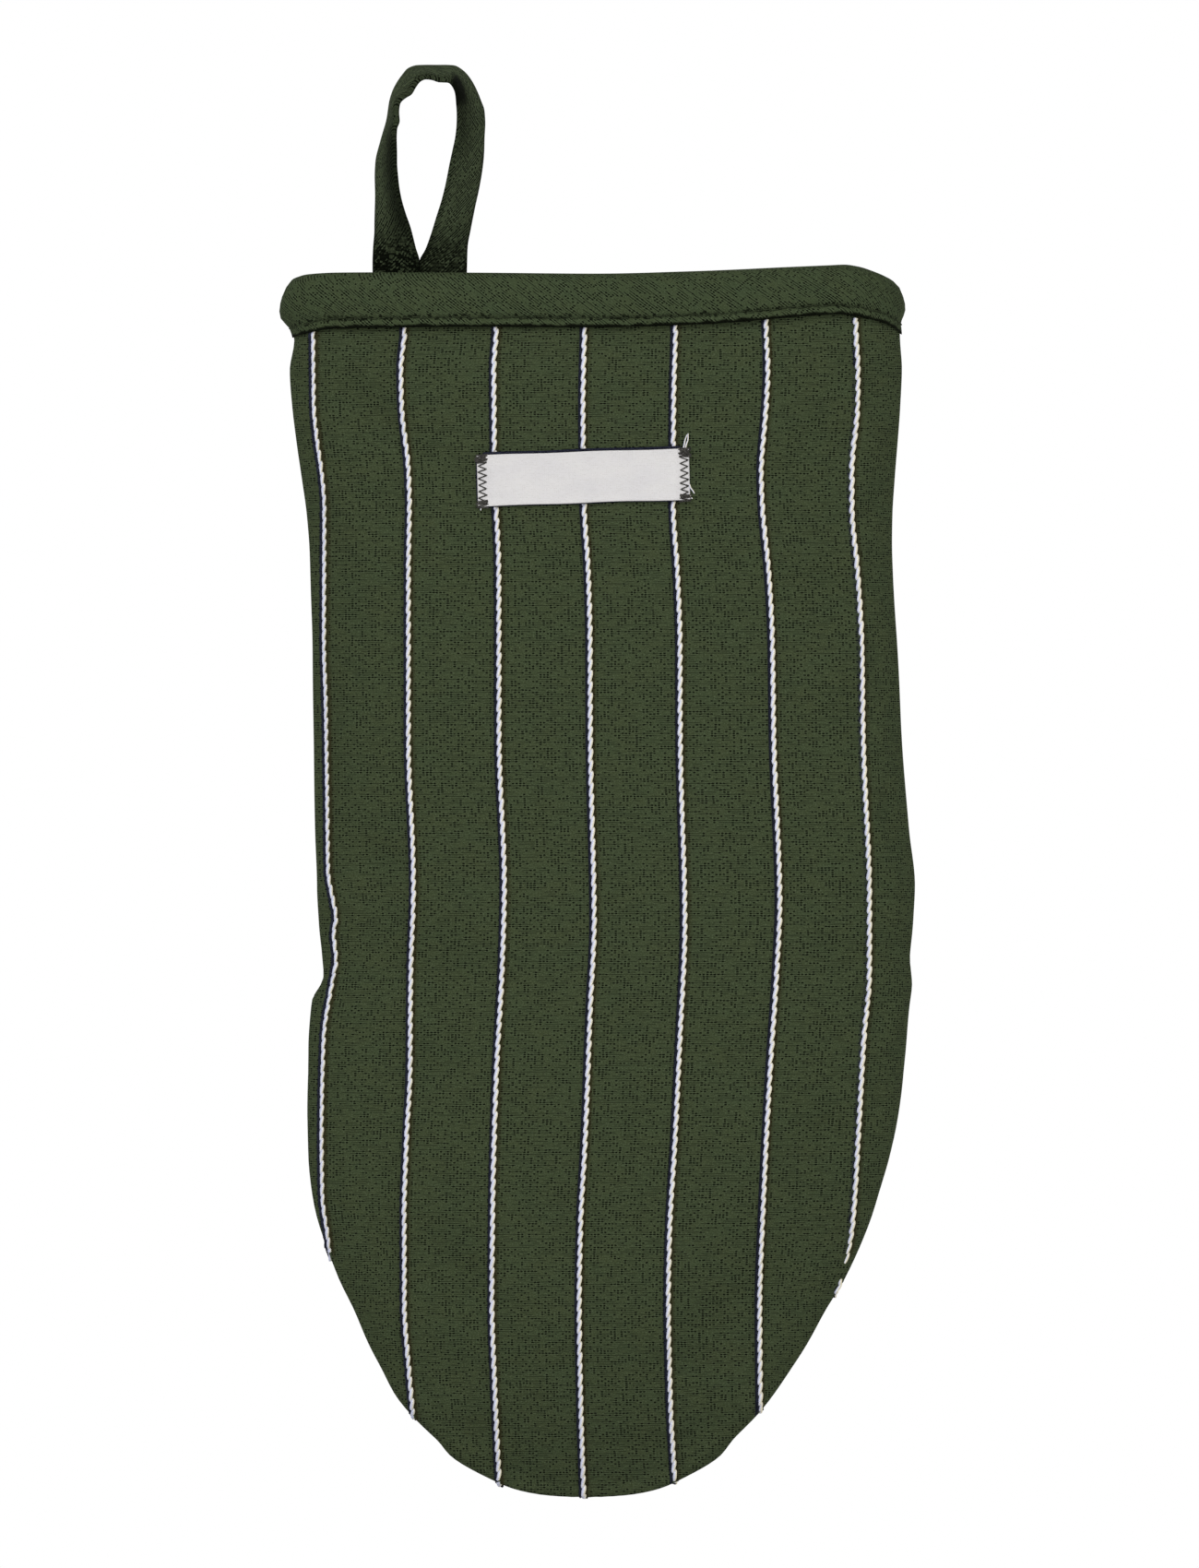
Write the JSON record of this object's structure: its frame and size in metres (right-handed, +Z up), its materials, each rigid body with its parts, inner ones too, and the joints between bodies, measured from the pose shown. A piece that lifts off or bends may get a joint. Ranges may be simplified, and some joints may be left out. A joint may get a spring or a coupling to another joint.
{
  "type": "oven mitt",
  "caption": "Padded striped fabric oven mitt for either hand, with a thumb pocket set in the palm, a bound cuff, a tape label across the back and a hanging loop.",
  "frame": {"origin": "centre of the cuff's mouth, on the plane of the panels' top edge under the binding", "axes": "+Z up out of the mouth towards the hanging loop, the fingers along -Z; -Y out of the back of the hand, where the label is, +Y out of the palm and the thumb; +X to the right seen from the back"},
  "size_m": [0.168, 0.0826, 0.3858],
  "materials": {
    "striped_cloth": "plain weave cotton, dark olive green with slubs",
    "cotton_wadding": "soft needled cotton wadding",
    "lining_cloth": "plain woven cotton lining",
    "binding_tape": "bias-cut plain weave tape",
    "dark_thread": "matt sewing thread",
    "label_tape": "off-white woven cotton tape",
    "white_yarn": "raised white chain yarn"
  },
  "bodies": {
    "mitt": {"back_outer": "striped_cloth", "back_wadding": "cotton_wadding", "back_lining": "lining_cloth", "palm_wrist_outer": "striped_cloth", "palm_wrist_wadding": "cotton_wadding", "palm_wrist_lining": "lining_cloth", "palm_finger_outer": "striped_cloth", "palm_finger_wadding": "cotton_wadding", "palm_finger_lining": "lining_cloth", "thumb_root_outer": "striped_cloth", "thumb_root_wadding": "cotton_wadding", "thumb_root_lining": "lining_cloth", "cuff_binding": "binding_tape", "binding_thread": "dark_thread", "loop_ends": "binding_tape", "label": "label_tape", "label_stitches": "dark_thread", "back_stripes": "white_yarn", "palm_wrist_stripes": "white_yarn", "palm_finger_stripes": "white_yarn"},
    "thumb": {"thumb_cover_outer": "striped_cloth", "thumb_cover_wadding": "cotton_wadding", "thumb_cover_lining": "lining_cloth", "thumb_under_outer": "striped_cloth", "thumb_under_wadding": "cotton_wadding", "thumb_under_lining": "lining_cloth", "thumb_stripes": "white_yarn"},
    "loop": {"hanging_loop": "binding_tape"}
  },
  "joints": [
    {"name": "thumb_flex", "type": "hinge", "parent": "mitt", "child": "thumb", "pos_m": [0, 0.0249, -0.185], "axis": [1, 0, 0], "range_deg": [0, 75], "deforming": ["thumb_root_outer", "thumb_root_wadding", "thumb_root_lining"]},
    {"name": "loop_swing", "type": "hinge", "parent": "mitt", "child": "loop", "pos_m": [-0.0465, -0.0149, 0.0027], "axis": [1, 0, 0], "range_deg": [-75, 85], "stiffness_Nm_per_rad": 0.004}
  ]
}
